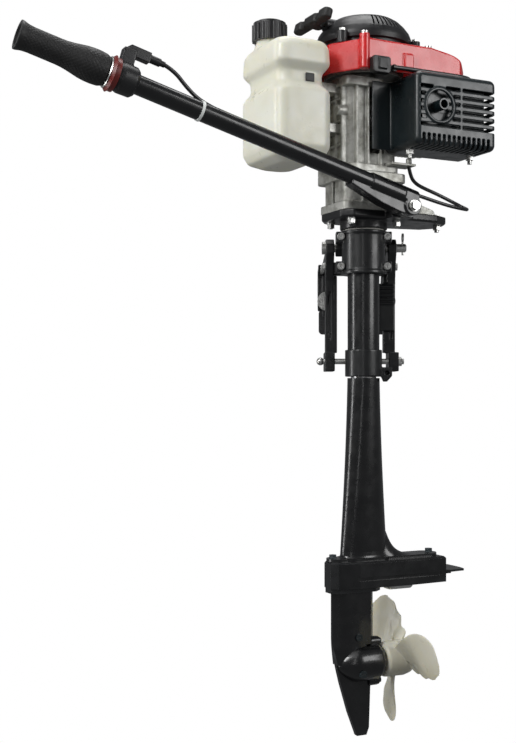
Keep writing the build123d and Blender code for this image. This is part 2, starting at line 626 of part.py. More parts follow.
def make_crankcase_base():
    """Lower crankcase: round drive chamber with feet on the mount plate."""
    with BuildPart() as base:
        slab((-50, -38, PLATE_TOP), (52, 38, PLATE_TOP + 11), 9)
        slab((-46, -36, PLATE_TOP + 11), (46, 36, BASE_TOP - 12), 14)
        slab((-53, -38, BASE_TOP - 12), (48, 42, BASE_TOP), 10)
        for rib_u in (-24, 22):
            block((rib_u - 1.6, -40, PLATE_TOP + 11), (rib_u + 1.6, 40, BASE_TOP - 12))
        for rib_v in (0,):
            block((-50, rib_v - 1.6, PLATE_TOP + 11), (48, rib_v + 1.6, BASE_TOP - 12))
        prism(
            Plane.XZ.offset(10),
            [(46, PLATE_TOP), (104, PLATE_TOP), (98, PLATE_TOP + 9), (60, PLATE_TOP + 20),
             (46, PLATE_TOP + 34)],
            16,
        )
        rod((0, 0, PLATE_TOP + 8), Z, 28, 34, Mode.SUBTRACT)
        rod((0, 0, 0), Z, JOURNAL_R + RUN, 200, Mode.SUBTRACT)
        for u, v in MOUNT_BOLTS:
            rod((u, v, 40), Z, 3, 48, Mode.SUBTRACT)
    return base


def make_crankcase():
    """Upper crankcase around the crank webs, with the mouth that takes the cylinder."""
    with BuildPart() as case:
        slab((-53, -38, BASE_TOP), (36, 42, BASE_TOP + 9), 10)
        slab((-46, -31.5, BASE_TOP + 9), (38, 38, CASE_TOP - 12), 16)
        slab((-52, -30, CASE_TOP - 12), (38, 44, CASE_TOP), 12)
        slab((-50, -40, CASE_TOP - 12), (12, 0, CASE_TOP), 9)
        for rib_v in (-24, -8, 10, 26):
            block((-50, rib_v - 1.6, BASE_TOP + 9), (0, rib_v + 1.6, CASE_TOP - 12))
        for rib_u in (-32, -14, 6):
            block((rib_u - 1.6, -38, BASE_TOP + 9), (rib_u + 1.6, -20, CASE_TOP - 12))
        for rib_u in (-32, -14, 30):
            block((rib_u - 1.6, 20, BASE_TOP + 9), (rib_u + 1.6, 42, CASE_TOP - 12))
        for rib_z in (160, 192, 222):
            block((-50, -20, rib_z - 1.5), (-40, 22, rib_z + 1.5))
        block((28, -30, CYL_Z - 34), (40, 40, CYL_Z + 34))
        for lug_z in (182, 236):
            block((-78, -16, lug_z - 6), (-44, 16, lug_z + 6))
        block((14, -52, BASE_TOP + 9), (52, -26, BASE_TOP + 12))
        rod((CABLE_STOP[0], CABLE_STOP[1], BASE_TOP + 12), Z, 4, 8)
        rod((-42, -22, 205), (-1, 0, 0), 7, 14)
        rod((-2, -34, 212), (0, -1, 0), 7, 8)
        rod((5, -33, 178), (0, -1, 0), 6, 8)
        rod((0, 0, 150), Z, 34, 90, Mode.SUBTRACT)
        rod((0, 0, CYL_Z), X, BORE_R + 2, 60, Mode.SUBTRACT)
        rod((0, 0, 0), Z, JOURNAL_R + RUN, 300, Mode.SUBTRACT)
        rod((12, 30, 195), Y, 8, 30, Mode.SUBTRACT)
    return case


def make_cylinder():
    """Finned cylinder barrel lying fore and aft."""
    with BuildPart() as barrel:
        rod((40, 0, CYL_Z), X, 26, 68)
        for fin in range(10):
            fin_u = 46 + 6 * fin
            with BuildSketch(Plane.YZ.offset(fin_u)) as outline:
                with Locations((4, CYL_Z)):
                    RectangleRounded(68, 74, 9)
            extrude(outline.sketch, amount=2.2)
        block((64, -40, CYL_Z - 14), (92, -20, CYL_Z + 14))
        rod((78, -45, CYL_Z), Y, 8, 24, Mode.SUBTRACT)
        rod((30, 0, CYL_Z), X, BORE_R + RUN, 100, Mode.SUBTRACT)
    return barrel


def make_cylinder_head():
    """Finned head with the spark plug's hole."""
    with BuildPart() as head:
        with BuildSketch(Plane.YZ.offset(108)) as outline:
            with Locations((4, CYL_Z)):
                RectangleRounded(66, 72, 10)
        extrude(outline.sketch, amount=5)
        rod((113, 0, CYL_Z), X, 17, 13)
        for fin_v in range(-26, 36, 10):
            block((113, fin_v - 1.2, CYL_Z - 32), (128, fin_v + 1.2, CYL_Z + 32))
        for u_z in (CYL_Z - 22, CYL_Z + 22):
            for bolt_v in (-18, 24):
                rod((113, bolt_v, u_z), X, 5, 10)
        rod((100, 0, CYL_Z), X, 16, 12, Mode.SUBTRACT)
        rod((100, 0, CYL_Z), X, 6, 60, Mode.SUBTRACT)
        rod((122, 0, CYL_Z), X, 11, 20, Mode.SUBTRACT)
    return head


def make_spark_plug():
    """Spark plug with its hexagon and insulator."""
    with BuildPart() as plug:
        rod((110, 0, CYL_Z), X, 6, 12)
        hexagon((122, 0, CYL_Z), X, 9.6, 8)
        rod((130, 0, CYL_Z), X, 7, 3)
        rod((133, 0, CYL_Z), X, 5, 14)
        rod((147, 0, CYL_Z), X, 2.5, 6)
    return plug


def shroud_block(inset):
    """The shroud's outer shape, or its hollow when inset is the wall."""
    with BuildPart() as body:
        with BuildSketch(Plane.XY.offset(CASE_TOP - (1 if inset else 0))) as plan:
            with BuildLine():
                Polyline(*SHROUD_PLAN, close=True)
            make_face()
            fillet(plan.vertices(), 7)
            if inset:
                offset(amount=-inset, mode=Mode.REPLACE)
        extrude(amount=SHROUD_TOP - CASE_TOP + 1)
        with BuildSketch(Plane.XZ) as side:
            with BuildLine():
                top = SHROUD_TOP - inset
                Polyline((48 - inset, top), (-90, top), (-90, 200), (122, 200), (122 - inset, 262 - inset))
                nose = [(a - inset, b - inset) for a, b in SHROUD_NOSE]
                Spline((122 - inset, 262 - inset), *nose, (48 - inset, top), tangents=((-0.3, 1), (-1, 0)))
            make_face()
        extrude(side.sketch, amount=120, both=True, mode=Mode.INTERSECT)
        if not inset:
            edges = body.faces().sort_by(Axis.Z)[-1].edges()
            chamfer(edges.filter_by(Axis.X) + edges.filter_by(Axis.Y), 1.2)
    return body


def make_fan_shroud():
    """Red cooling shroud over the flywheel and cylinder."""
    hollow = shroud_block(SHEET)
    outer = shroud_block(0)
    with BuildPart() as shroud:
        add(outer.part)
        add(hollow.part, mode=Mode.SUBTRACT)
        rod((0, 0, 270), Z, 58, 40, Mode.SUBTRACT)
        for boss_u, boss_v, boss_top in SHROUD_BOSSES:
            rod((boss_u, boss_v, CASE_TOP), Z, 7, boss_top - CASE_TOP)
            rod((boss_u, boss_v, boss_top - 12), Z, 2.5, 20, Mode.SUBTRACT)
        block((16, -80.5, 257), (30, -74, 275))
    return shroud


def make_ignition_coil():
    """Coil and its cover beside the flywheel."""
    with BuildPart() as coil:
        block((-38, -88, 243), (-11, -78.2, 265))
        chamfer(coil.edges().filter_by(Axis.Y), 2.5)
        rod((-2, -78.2, 253), (0, -1, 0), 5, 5)
        block((-12, -83, 250), (-2, -78.2, 256))
        block((-30, -91, 248), (-18, -88, 262))
    return coil


def make_recoil_cover():
    """Round starter cover with fine slits round its aft side and the rope's exit neck."""
    with BuildPart() as cover:
        spun(COVER_OUTSIDE + COVER_INSIDE)
        for turn in range(-SLIT_SPAN, SLIT_SPAN + 1, SLIT_STEP):
            with Locations(Location((0, 0, 0), (0, 0, turn)) * Location((52, 0, 326))):
                Box(21, 2.4, 27, mode=Mode.SUBTRACT)
        for turn in range(0, 360, 30):
            slot = Plane(
                origin=(24 * cos(radians(turn)), 24 * sin(radians(turn)), 336),
                x_dir=(cos(radians(turn)), sin(radians(turn)), 0),
            )
            with BuildSketch(slot):
                SlotOverall(14, 4)
            extrude(amount=8, both=True, mode=Mode.SUBTRACT)
        rod((-44, 0, 325), (-1, 0, 0), 9, 18)
        rod((-30, 0, 325), (-1, 0, 0), 3, 60, Mode.SUBTRACT)
        rod((0, 0, 305), Z, 43, 18, Mode.SUBTRACT)
        for foot in STARTER_FEET:
            rod(foot, Z, 7, FOOT_RISE)
            rod(foot, Z, 2.5, 30, Mode.SUBTRACT)
        rod((0, 0, SHROUD_TOP), Z, 57, 16, Mode.SUBTRACT)
        rod((0, 0, 300), Z, 6, 36)
    return cover


def make_cover_screws():
    """Screws of the starter cover, the shroud and the muffler cover."""
    with BuildPart() as screws:
        for foot in STARTER_FEET:
            rod(foot, Z, 2.5, FOOT_RISE)
            hexagon((foot[0], foot[1], SHROUD_TOP + FOOT_RISE), Z, 4.6, 3.5)
        for boss_u, boss_v, boss_top in SHROUD_BOSSES:
            rod((boss_u, boss_v, boss_top - 12), Z, 2.5, 12)
            rod((boss_u, boss_v, boss_top), Z, 4.8, 3.2)
            hexagon((boss_u, boss_v, boss_top + 3.2), (0, 0, -1), 2.5, 2, Mode.SUBTRACT)
        for foot_u in MUFFLER_BOLTS:
            rod((foot_u, -70, 139), Z, 3, 11)
            hexagon((foot_u, -70, 144.5), Z, 5.6, 5.5)
    return screws


def make_carburettor():
    """Carburettor on the starboard side, with its float bowl."""
    with BuildPart() as carb:
        rod((12, 38, 195), Y, 8, 5)
        block((-10, 42.2, 183), (34, 47, 207))
        rod((12, 46, 195), Y, 14, 26)
        rod((12, 60, 172), Z, 13, 24)
        block((-4, 50, 186), (28, 68, 206))
        block((-12, 72, 182), (36, 76, 208))
        rod((12, 30, 195), Y, 6, 60, Mode.SUBTRACT)
        rod((27, 60, 195), X, 3.2, 10)
    return carb


def make_air_cleaner():
    """Air cleaner box outside the carburettor."""
    with BuildPart() as cleaner:
        slab((-22, 76, 166), (46, 104, 226), 9)
        chamfer(cleaner.faces().sort_by(Axis.Z)[-1].edges(), 3)
        chamfer(cleaner.faces().sort_by(Axis.Z)[0].edges(), 3)
        for slot_z in range(176, 222, 9):
            block((-10, 102, slot_z), (34, 106, slot_z + 3), Mode.SUBTRACT)
    return cleaner


def make_muffler():
    """Exhaust box with its inlet stub and tail pipe."""
    with BuildPart() as box:
        block((30, -100, 162), (130, -48, 236))
        fillet(box.edges().filter_by(Axis.Y), 10)
        block((34, -97, 166), (126, -51, 232), Mode.SUBTRACT)
        block((40, -101, 196), (120, -99, 200))
        rod((78, -40, CYL_Z), (0, -1, 0), 13, 10)
        rod((78, -40, CYL_Z), (0, -1, 0), 8, 14, Mode.SUBTRACT)
        rod((OUTLET_U, -95, OUTLET_Z), (0, -1, 0), 7.4, 25)
        rod((OUTLET_U, -98, OUTLET_Z), (0, -1, 0), 5.6, 30, Mode.SUBTRACT)
    return box


def make_muffler_cover():
    """Slotted black guard around the muffler, open towards the cylinder."""
    low, high = MUFFLER_LOW, MUFFLER_HIGH
    with BuildPart() as cover:
        block(low, high)
        fillet(cover.edges().filter_by(Axis.Y), 9)
        fillet(cover.faces().sort_by(Axis.Y)[0].edges(), 8)
        offset(amount=-SHEET, openings=cover.faces().sort_by(Axis.Y)[-1])
        rod((OUTLET_U, low[1], OUTLET_Z), (0, -1, 0), 24, 1.5)
        rod((OUTLET_U, -90, OUTLET_Z), (0, -1, 0), 20, 40, Mode.SUBTRACT)
        dish = 26
        for row in range(6):
            slot_z = 227 - 10 * row - 2.25
            rise = slot_z + 2.25 - OUTLET_Z
            gap = (dish * dish - rise * rise) ** 0.5 if abs(rise) < dish else 0
            runs = [(OUTLET_U + gap, 84), (88, high[0] + 2)]
            if gap:
                runs.append((21, OUTLET_U - gap))
            else:
                runs[0] = (21, 84)
            for start, end in runs:
                if end - start > 3:
                    block((start, low[1] - 2, slot_z), (end, low[1] + 9, slot_z + 4.5), Mode.SUBTRACT)
            block((high[0] - 6, low[1] - 2, slot_z), (high[0] + 2, -52, slot_z + 4.5), Mode.SUBTRACT)
        for column in range(14):
            slot_u = 24 + 8 * column
            block((slot_u, low[1] - 2, low[2] - 2), (slot_u + 4.2, low[1] + 32, low[2] + 15), Mode.SUBTRACT)
        block((-14, -46, low[2] + 2), (low[0] + 1, -44, high[2] - 3))
        for foot_u in MUFFLER_BOLTS:
            rod((foot_u, -70, 120), Z, 3, 40, Mode.SUBTRACT)
    return cover


def tank_block(wall):
    """The tank's outer shape, or its hollow when wall is given."""
    with BuildPart() as body:
        for height, inset in TANK_SECTIONS:
            level = height + (wall if height < 200 else -wall if height > 270 else 0)
            side = inset + wall
            with BuildSketch(Plane(origin=(*TANK_CENTRE, level))):
                RectangleRounded(TANK_LENGTH - 2 * side, TANK_WIDTH - 2 * side, 17 - wall)
        loft(ruled=True)
    return body


def make_fuel_tank():
    """Blow-moulded fuel tank with a waist and a threaded filler neck."""
    outer = tank_block(0)
    hollow = tank_block(SHEET)
    with BuildPart() as tank:
        add(outer.part)
        add(hollow.part, mode=Mode.SUBTRACT)
        rod((CAP_AT[0], CAP_AT[1], 282), Z, NECK_R, 24)
        rod((CAP_AT[0], CAP_AT[1], 284), Z, NECK_R + 3, 8)
        rod((CAP_AT[0], CAP_AT[1], 270), Z, NECK_R - 3, 60, Mode.SUBTRACT)
        block((-106, 40, 284), (-88, 52, 291))
        block((-119, -52, 230), (-107, -47, 240))
    return tank


def make_fuel_cap():
    """Faceted filler cap, turned on the neck."""
    with BuildPart() as cap:
        rod((CAP_AT[0], CAP_AT[1], 297), Z, 22, 25)
        for turn in range(0, 360, 20):
            rib = (CAP_AT[0] + 21.5 * cos(radians(turn)), CAP_AT[1] + 21.5 * sin(radians(turn)), 297)
            rod(rib, Z, 2.6, 22)
        rod((CAP_AT[0], CAP_AT[1], 320), Z, 18, 4)
        rod((CAP_AT[0], CAP_AT[1], 290), Z, NECK_R + RUN, 17, Mode.SUBTRACT)
    return cap


# --- crank train, in the motor frame ---
def make_crankshaft():
    """Built-up crankshaft: two halves, each a journal with its web."""
    with BuildPart() as crank:
        foot = PLATE_TOP + 1.5
        spun([(0, foot), (JOURNAL_R, foot), (JOURNAL_R, WEB_LOW[0]), (30, WEB_LOW[0]),
              (30, WEB_LOW[1]), (0, WEB_LOW[1])])  # fmt: skip
        spun([(0, WEB_HIGH[0]), (30, WEB_HIGH[0]), (30, WEB_HIGH[1]), (JOURNAL_R, WEB_HIGH[1]),
              (JOURNAL_R, 285), (0, 285)])  # fmt: skip
    return crank


def make_flywheel():
    """Magneto flywheel with fan blades and the starter cup."""
    with BuildPart() as wheel:
        spun([(JOURNAL_R, 253), (16, 253), (16, 262), (52, 262), (52, 254), (55, 254), (55, 268),
              (30, 268), (30, 296), (27, 296), (27, 270), (JOURNAL_R, 270)])  # fmt: skip
        for turn in range(0, 360, 20):
            start = (cos(radians(turn)), sin(radians(turn)), 0)
            fan = Plane(
                origin=(43 * start[0], 43 * start[1], 266),
                x_dir=(cos(radians(turn + 24)), sin(radians(turn + 24)), 0),
            )
            with BuildSketch(fan) as blade:
                Rectangle(20, 2)
            extrude(blade.sketch, amount=17)
        rod((0, 0, 270), Z, 12, 12)
        rod((0, 0, 240), Z, JOURNAL_R, 45, Mode.SUBTRACT)
    return wheel


def make_drive_shaft():
    """Drive shaft down the leg, with the bevel pinion at its foot."""
    narrow = (PINION_PITCH_R - MESH_GAP) * 0.55
    tip, back = PROP_Z + GEAR_PITCH_R * GEAR_TIP, PROP_Z + GEAR_PITCH_R
    with BuildPart() as shaft:
        rod((0, 0, back), Z, DRIVE_R, PLATE_TOP + 1.5 - back)
        spun([(0, tip), (narrow, tip), (PINION_PITCH_R - MESH_GAP, back), (6, back + 2), (0, back + 2)])
        for tooth in range(PINION_TEETH):
            turn = 2 * pi * tooth / PINION_TEETH
            groove = Plane(
                origin=(PINION_PITCH_R * cos(turn), PINION_PITCH_R * sin(turn), back + 3),
                x_dir=(-sin(turn), cos(turn), 0),
                z_dir=(-0.447 * cos(turn), -0.447 * sin(turn), -0.894),
            )
            with BuildSketch(groove) as cut:
                Rectangle(1.6, 2.4)
            extrude(cut.sketch, amount=16, mode=Mode.SUBTRACT)
    return shaft


def make_prop_shaft():
    """Propeller shaft with the bevel gear at its fore end, drawn about X."""
    back = PINION_PITCH_R
    front = back * GEAR_TIP
    with BuildPart() as shaft:
        turned([(front, 0), (front, GEAR_PITCH_R * GEAR_TIP - MESH_GAP), (back, GEAR_PITCH_R - MESH_GAP),
                (back + 2.5, GEAR_PITCH_R - 2), (back + 2.5, DRIVE_R), (84, DRIVE_R), (84, 0)])  # fmt: skip
        for tooth in range(GEAR_TEETH):
            turn = 2 * pi * (tooth + 0.5) / GEAR_TEETH
            groove = Plane(
                origin=(back + 0.6, GEAR_PITCH_R * cos(turn), GEAR_PITCH_R * sin(turn)),
                x_dir=(0, -sin(turn), cos(turn)),
                z_dir=(-0.447, -0.894 * cos(turn), -0.894 * sin(turn)),
            )
            with BuildSketch(groove) as cut:
                Rectangle(1.5, 2.2)
            extrude(cut.sketch, amount=9, mode=Mode.SUBTRACT)
    return shaft


def blade():
    """One broad propeller blade of the opposite hand, pointing up Z from the hub's axis."""
    with BuildPart() as piece:
        for radius, chord, thickness, rake in BLADE_SECTIONS:
            pitch = atan2(BLADE_PITCH, 2 * pi * radius)
            section = Plane(
                origin=(PROP_U + rake, 0, radius),
                x_dir=(sin(pitch), cos(pitch), 0),
                z_dir=Z,
            )
            with BuildSketch(section):
                Ellipse(chord / 2, thickness / 2)
        loft()
    return piece


def make_propeller():
    """Three-bladed propeller with its hub, held by a nut and washer."""
    one = blade().part.mirror(Plane.XZ)
    hub = [(28, DRIVE_R), (28, 21), (31, 24), (60, 24.5), (70, 22), (HUB_AFT, 15), (HUB_AFT, DRIVE_R)]
    with BuildPart() as prop:
        turned(hub)
        for turn in BLADE_TURNS:
            add(one.rotate(Axis.X, turn))
        rod((0, 0, 0), X, DRIVE_R, 100, Mode.SUBTRACT)
        rod((28, 0, 0), X, 17, 4, Mode.SUBTRACT)
    return prop


def make_prop_nut():
    """Nut and washer behind the propeller."""
    with BuildPart() as nut:
        rod((HUB_AFT, 0, 0), X, 10, 1.4)
        hexagon((HUB_AFT + 1.4, 0, 0), X, 8, 6)
        rod((20, 0, 0), X, DRIVE_R, 80, Mode.SUBTRACT)
    return nut


def make_piston():
    """Piston with its ring grooves, at the top of its stroke."""
    with BuildPart() as piston:
        rod((WRIST_U - 12, 0, CYL_Z), X, BORE_R, 34)
        rod((WRIST_U - 18, 0, CYL_Z), X, BORE_R - 3.5, 34, Mode.SUBTRACT)
        for ring_u in (92, 96):
            with BuildSketch(Plane.YZ.offset(ring_u)) as ring:
                with Locations((0, CYL_Z)):
                    Circle(BORE_R + 1)
                    Circle(BORE_R - 0.7, mode=Mode.SUBTRACT)
            extrude(ring.sketch, amount=1.5, mode=Mode.SUBTRACT)
        rod((WRIST_U, 0, CYL_Z - 30), Z, 5, 60, Mode.SUBTRACT)
    return piston


def make_connecting_rod():
    """Connecting rod with the wrist pin and the crank pin."""
    crank_u = STROKE / 2
    with BuildPart() as link:
        rod((crank_u, 0, CYL_Z - 5.5), Z, 11, 11)
        rod((WRIST_U, 0, CYL_Z - 5.5), Z, 8, 11)
        block((crank_u, -4, CYL_Z - 3.5), (WRIST_U, 4, CYL_Z + 3.5))
        rod((WRIST_U, 0, CYL_Z - 17), Z, 5, 34)
    return link


# --- tiller, in the tiller frame ---
def make_tiller_casting():
    """Glossy end casting that pivots on the mount plate's ear."""
    with BuildPart() as casting:
        rod((0, -12.4, 0), Y, 12.5, 25)
        rod((-6, 0, TILLER_OFF), X, 13.6, 74)
        prism(
            Plane.XZ.offset(-9.5),
            [(0, -12.5), (15, -14), (45, -12), (72, -7.5), (96, -3), (96, TILLER_OFF), (66, TILLER_OFF + 8),
             (0, TILLER_OFF + 10), (-9, 6)],
            19,
        )
        rod((40, 0, TILLER_OFF), X, TILLER_R, 60, Mode.SUBTRACT)
        rod((0, -20, 0), Y, 4 + RUN, 40, Mode.SUBTRACT)
        block((-30, 12.6, -20), (16, 20, 40), Mode.SUBTRACT)
        block((-30, -20, -20), (19, -12.4, 40), Mode.SUBTRACT)
        block((-30, -20, TILLER_OFF + 9), (38, -6, 40), Mode.SUBTRACT)
    return casting


def make_tiller_tube():
    """Long steel tube of the tiller."""
    with BuildPart() as tube:
        rod((40, 0, TILLER_OFF), X, TILLER_R, 506)
        rod((60, 0, TILLER_OFF), X, TILLER_R - 2, 506, Mode.SUBTRACT)
    return tube


def make_throttle_housing():
    """Housing beside the grip, with the arm that takes the cable."""
    with BuildPart() as housing:
        turned([(404, TILLER_R), (404, 15), (408, 18.5), (424, 19), (430, 17), (430, TILLER_R)], TILLER_OFF)
        block((414, -7, TILLER_OFF + 14), (430, 7, TILLER_OFF + 36))
        prism(
            Plane.XZ.offset(-5.5),
            [(396, TILLER_OFF + 29), (430, TILLER_OFF + 29), (430, TILLER_OFF + 34),
             (422, TILLER_OFF + 42), (396, TILLER_OFF + 42)],
            11,
        )  # fmt: skip
        rod((382, 0, TILLER_OFF + 36), X, 5, 16)
        rod((376, 0, TILLER_OFF + 36), X, 3.6, 8)
        rod((370, 0, TILLER_OFF + 36), X, CABLE_R, 20, Mode.SUBTRACT)
        rod((418, -24, TILLER_OFF), Y, 4 + RUN, 12, Mode.SUBTRACT)
    return housing


def make_throttle_ring():
    """Dark red band between the housing and the grip."""
    with BuildPart() as ring:
        turned([(430, TILLER_R), (430, 20.5), (436, 20.5), (436.5, 22.5), (441, 18), (441, TILLER_R)],
               TILLER_OFF)  # fmt: skip
    return ring


def make_twist_grip():
    """Rubber twist grip with a bulge at its inner third."""
    profile = [(GRIP_START, 16), (446, 19), (456, 20.5), (470, 20), (484, 17), (500, 15.2), (536, 15),
               (546, 16.5), (GRIP_END, 17.5)]  # fmt: skip
    with BuildPart() as grip:
        turned([(GRIP_START, 0)] + profile + [(GRIP_END, 0)], TILLER_OFF)
        rod((GRIP_START - 1, 0, TILLER_OFF), X, TILLER_R + RUN, GRIP_END - GRIP_START - 5, Mode.SUBTRACT)
        rod((GRIP_END - 3, 0, TILLER_OFF), X, 14, 10, Mode.SUBTRACT)
    return grip


def make_stop_button():
    """Push button of the stop switch, on the housing's starboard side."""
    with BuildPart() as button:
        rod((418, -14.5, TILLER_OFF), (0, -1, 0), 4, 8)
        rod((418, -21.6, TILLER_OFF), (0, -1, 0), 6, 3.4)
    return button


# --- starter and cable, in the motor frame ---
def make_starter_handle():
    """T-shaped pull handle with two finger hollows."""
    with BuildPart() as handle:
        with BuildSketch(Plane.XY.offset(-6.5)) as outline:
            SlotOverall(92, 14, rotation=90)
            with Locations((7, 0)):
                Circle(8.5)
        extrude(outline.sketch, amount=13)
        for side in (-1, 1):
            rod((-13, side * 20, -10), Z, 9, 20, Mode.SUBTRACT)
        fillet(handle.faces().sort_by(Axis.Z)[-1].edges(), 2)
        fillet(handle.faces().sort_by(Axis.Z)[0].edges(), 2)
    return handle


def make_starter_reel():
    """Rope reel that turns on the cover's post."""
    with BuildPart() as reel:
        spun([(6 + RUN, 306), (41, 306), (41, 308), (34, 309.5), (34, 317.5), (41, 319), (41, 321),
              (6 + RUN, 321)])  # fmt: skip
        for turn in range(0, 360, 60):
            rod((21 * cos(radians(turn)), 21 * sin(radians(turn)), 300), Z, 7, 30, Mode.SUBTRACT)
    return reel


def bend_radii(route):
    """The largest arc that fits each corner of a route."""
    radii = []
    for before, corner, after in zip(route, route[1:], route[2:]):
        came = Vector(*corner) - Vector(*before)
        goes = Vector(*after) - Vector(*corner)
        half_turn = radians(came.get_angle(goes)) / 2
        radii.append(0.45 * min(came.length, goes.length) / tan(half_turn))
    return radii


def cable(route):
    """A cable of straight runs and tangent arcs along a route."""
    radii = bend_radii(route)
    print("cable bend radii", [round(radius) for radius in radii])
    with BuildPart() as piece:
        with BuildLine() as path:
            FilletPolyline(*route, radius=radii)
        with BuildSketch(Plane(origin=path.line @ 0, z_dir=path.line % 0)):
            Circle(CABLE_R)
        sweep(path=path.line)
    length = sum(edge.length for edge in path.edges())
    print("cable volume", piece.part.volume, "section times length", pi * CABLE_R**2 * length)
    return piece


def screw_place(side, along):
    """Where a clamp screw's pieces go."""
    return Location((side * SCREW_X, along, SCREW_Z))


def main():
    os.makedirs("parts", exist_ok=True)
    for side, word in ((-1, "left"), (1, "right")):
        save(bracket(side), f"bracket_{word}")
        save(clamp_pad(side), f"clamp_pad_{word}")
        save(clamp_screw(), f"clamp_screw_{word}", screw_place(side, 0))
        save(clamp_paddle(), f"clamp_paddle_{word}", screw_place(side, HINGE_Y))
    save(make_crossmember(), "bracket_crossmember")
    save(make_bracket_bolts(), "bracket_bolts")
    save(make_tilt_pin(), "tilt_pin")
    save(make_trim_pin(), "trim_pin")

    save(make_swivel_bracket(), "swivel_bracket", STEERING)
    save(collar_half(-1), "swivel_cap", STEERING)
    save(make_cap_screws(), "swivel_cap_screws", STEERING)
    save(make_swivel_tube(), "swivel_tube", STEERING)
    save(make_swivel_bushes(), "swivel_bushes", STEERING)
    save(make_lower_collar(), "lower_collar", STEERING)

    save(make_leg_tube(), "leg_tube", MOTOR)
    save(make_leg_casting(), "leg_casting", MOTOR)
    save(make_exhaust_housing(), "exhaust_housing", MOTOR)
    save(make_gear_housing(), "gear_housing", MOTOR)
    save(make_gearcase_cap(), "gearcase_cap", PROPELLER)
    save(make_gearcase_screws(), "gearcase_screws", MOTOR)
    save(make_anode(), "anode", MOTOR)

    save(make_mount_plate(), "mount_plate", MOTOR)
    save(make_mount_bolts(), "mount_bolts", MOTOR)
    save(make_crankcase_base(), "crankcase_base", MOTOR)
    save(make_crankcase(), "crankcase", MOTOR)
    save(make_cylinder(), "cylinder", MOTOR)
    save(make_cylinder_head(), "cylinder_head", MOTOR)
    save(make_spark_plug(), "spark_plug", MOTOR)
    save(make_ignition_coil(), "ignition_coil", MOTOR)
    save(make_fan_shroud(), "fan_shroud", MOTOR)
    save(make_recoil_cover(), "recoil_cover", MOTOR)
    save(make_cover_screws(), "cover_screws", MOTOR)
    save(make_carburettor(), "carburettor", MOTOR)
    save(make_air_cleaner(), "air_cleaner", MOTOR)
    save(make_muffler(), "muffler", MOTOR)
    save(make_muffler_cover(), "muffler_cover", MOTOR)
    save(make_fuel_tank(), "fuel_tank", MOTOR)
    save(make_fuel_cap(), "fuel_cap", MOTOR)

    save(make_crankshaft(), "crankshaft", MOTOR)
    save(make_flywheel(), "flywheel", MOTOR)
    save(make_drive_shaft(), "drive_shaft", MOTOR)
    save(make_prop_shaft(), "prop_shaft", PROPELLER)
    save(make_propeller(), "propeller", PROPELLER)
    save(make_prop_nut(), "prop_nut", PROPELLER)
    save(make_piston(), "piston", MOTOR)
    save(make_connecting_rod(), "connecting_rod", MOTOR)

    save(make_tiller_casting(), "tiller_casting", TILLER)
    save(make_tiller_tube(), "tiller_tube", TILLER)
    save(make_throttle_housing(), "throttle_housing", TILLER)
    save(make_throttle_ring(), "throttle_ring", TILLER)
    save(make_twist_grip(), "twist_grip", TILLER)
    save(make_stop_button(), "stop_button", TILLER)
    save(cable(ARM_ROUTE), "throttle_cable", TILLER)
    save(cable(LOOP_ROUTE), "throttle_cable_loop", MOTOR)

    pull = Location(PULL_AT, (0, PULL_RISE, 0))
    save(make_starter_handle(), "starter_handle", MOTOR * pull)
    save(make_starter_reel(), "starter_reel", MOTOR)


main()
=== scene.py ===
"""Looks of a small air-cooled outboard motor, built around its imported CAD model."""

import json
from math import cos, pi, radians, sin

import bmesh
import bpy
from mathutils import Matrix, Vector


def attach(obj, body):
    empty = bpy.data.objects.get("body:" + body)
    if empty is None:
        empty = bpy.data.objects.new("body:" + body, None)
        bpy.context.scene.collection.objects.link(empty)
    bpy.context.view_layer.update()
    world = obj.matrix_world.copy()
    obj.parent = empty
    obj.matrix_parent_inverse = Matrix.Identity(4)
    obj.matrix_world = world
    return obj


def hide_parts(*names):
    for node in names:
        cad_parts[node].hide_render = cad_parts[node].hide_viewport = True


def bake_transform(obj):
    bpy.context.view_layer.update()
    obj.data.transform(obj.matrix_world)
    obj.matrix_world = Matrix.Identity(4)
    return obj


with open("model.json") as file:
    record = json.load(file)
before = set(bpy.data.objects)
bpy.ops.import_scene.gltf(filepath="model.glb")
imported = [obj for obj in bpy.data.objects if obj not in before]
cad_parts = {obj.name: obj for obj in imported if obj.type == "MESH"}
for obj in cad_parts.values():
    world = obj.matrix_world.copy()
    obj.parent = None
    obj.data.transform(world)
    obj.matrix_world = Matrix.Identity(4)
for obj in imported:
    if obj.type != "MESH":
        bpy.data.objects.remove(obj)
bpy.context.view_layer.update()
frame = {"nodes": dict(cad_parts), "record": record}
NODES = frame["nodes"]
RECORD = frame["record"]
SLOT_OF = {part["node"]: part["material_slot"] for part in RECORD["subparts"]}
BODY_OF = {node: body for body, nodes in RECORD["behaviour"]["bodies"].items() for node in nodes}

MM = 0.001
FACE_ANGLE = radians(32)  # flatter edges than this are shaded smooth
TUBE_ANGLE = radians(50)  # the same on thin tubes, which have few sides

# The motor's own frame: +X aft, +Y to starboard, +Z up the steering axis.
MOTOR = Matrix.Translation((0, -0.093, 0)) @ Matrix.Rotation(radians(26), 4, "Z")
# The tiller's frame: origin at its fold pivot, +X along the tube, +Z up.
TILLER_RISE = radians(15.6)
TILLER_AXES = Matrix((
    (-cos(TILLER_RISE), 0, sin(TILLER_RISE)),
    (0, -1, 0),
    (sin(TILLER_RISE), 0, cos(TILLER_RISE)),
)).to_4x4()
TILLER = MOTOR @ Matrix.Translation((0.025, -0.075, 0.072)) @ TILLER_AXES
TUBE_HEIGHT = 10.7 * MM
TUBE = TILLER @ Matrix.Translation((0, 0, TUBE_HEIGHT))


